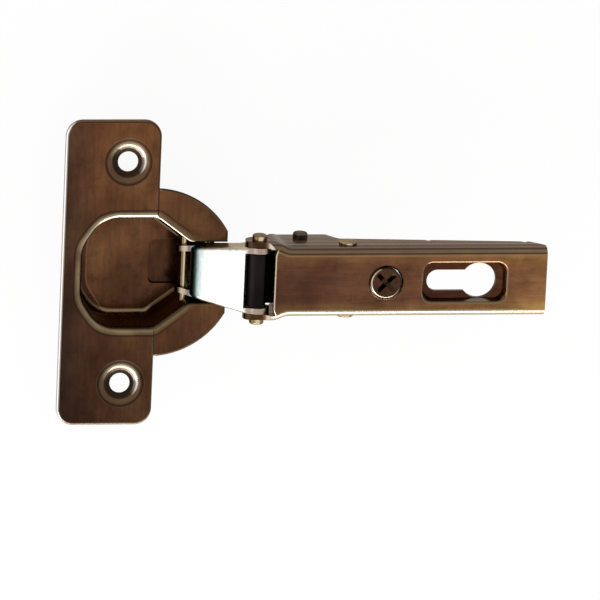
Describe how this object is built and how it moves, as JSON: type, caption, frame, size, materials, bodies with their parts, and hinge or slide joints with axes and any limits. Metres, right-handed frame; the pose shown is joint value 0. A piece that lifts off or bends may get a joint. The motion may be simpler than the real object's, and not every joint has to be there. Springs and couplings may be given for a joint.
{
  "type": "concealed cup hinge",
  "caption": "Concealed cabinet hinge with a 35 mm cup, nickel-plated steel, one-piece slide-on arm with keyhole, opened to a right angle",
  "frame": {"origin": "midway between the two door screw holes, on the underside of the flange", "axes": "X from the cup along the arm, Y along the pivot pins, Z out of the door face"},
  "size_m": [0.1023, 0.066, 0.0217],
  "materials": {
    "nickel": "bright nickel plate on pressed steel, soft mirror with fine handling marks",
    "zinc": "bright zinc plate on the outer link",
    "pin_steel": "bright nickel plated rivets and pins",
    "spring_black": "blackened spring steel, oiled",
    "sleeve_black": "black nylon",
    "screw_nickel": "bright nickel plated screw"
  },
  "bodies": {
    "cup": {"hinge_cup": "nickel", "cup_outer_pin": "pin_steel"},
    "outer_link_body": {"outer_link": "zinc"},
    "arm": {"hinge_arm": "nickel", "knuckle_pin": "pin_steel", "arm_inner_pin": "pin_steel", "spring_pin": "pin_steel", "spring_sleeve": "sleeve_black", "spring_leaf_1": "spring_black", "spring_leaf_2": "spring_black", "spring_leaf_3": "spring_black"},
    "inner_link_body": {"inner_link": "nickel", "cup_inner_pin": "pin_steel"},
    "side_screw": {"side_adjust_screw": "screw_nickel"}
  },
  "joints": [
    {"name": "outer_link_fold", "type": "hinge", "parent": "cup", "child": "outer_link_body", "pos_m": [0.0135, 0, -0.0038], "axis": [0, -1, 0], "range_deg": [-18, 135]},
    {"name": "arm_on_outer_link", "type": "hinge", "parent": "outer_link_body", "child": "arm", "pos_m": [0.0276, 0, 0.0061], "axis": [0, 1, 0], "range_deg": [-6, 45]},
    {"name": "inner_link_in_arm", "type": "hinge", "parent": "arm", "child": "inner_link_body", "pos_m": [0.0375, 0, -0.0001], "axis": [0, -1, 0], "range_deg": [-5.4, 40.5]},
    {"name": "side_screw_travel", "type": "slide", "parent": "arm", "child": "side_screw", "axis": [0, 0, 1], "range_m": [-0.0008, 0.002]}
  ],
  "couplings": [
    {"joint": "arm_on_outer_link", "follows": "outer_link_fold", "ratio": 0.33333},
    {"joint": "inner_link_in_arm", "follows": "outer_link_fold", "ratio": 0.3}
  ]
}
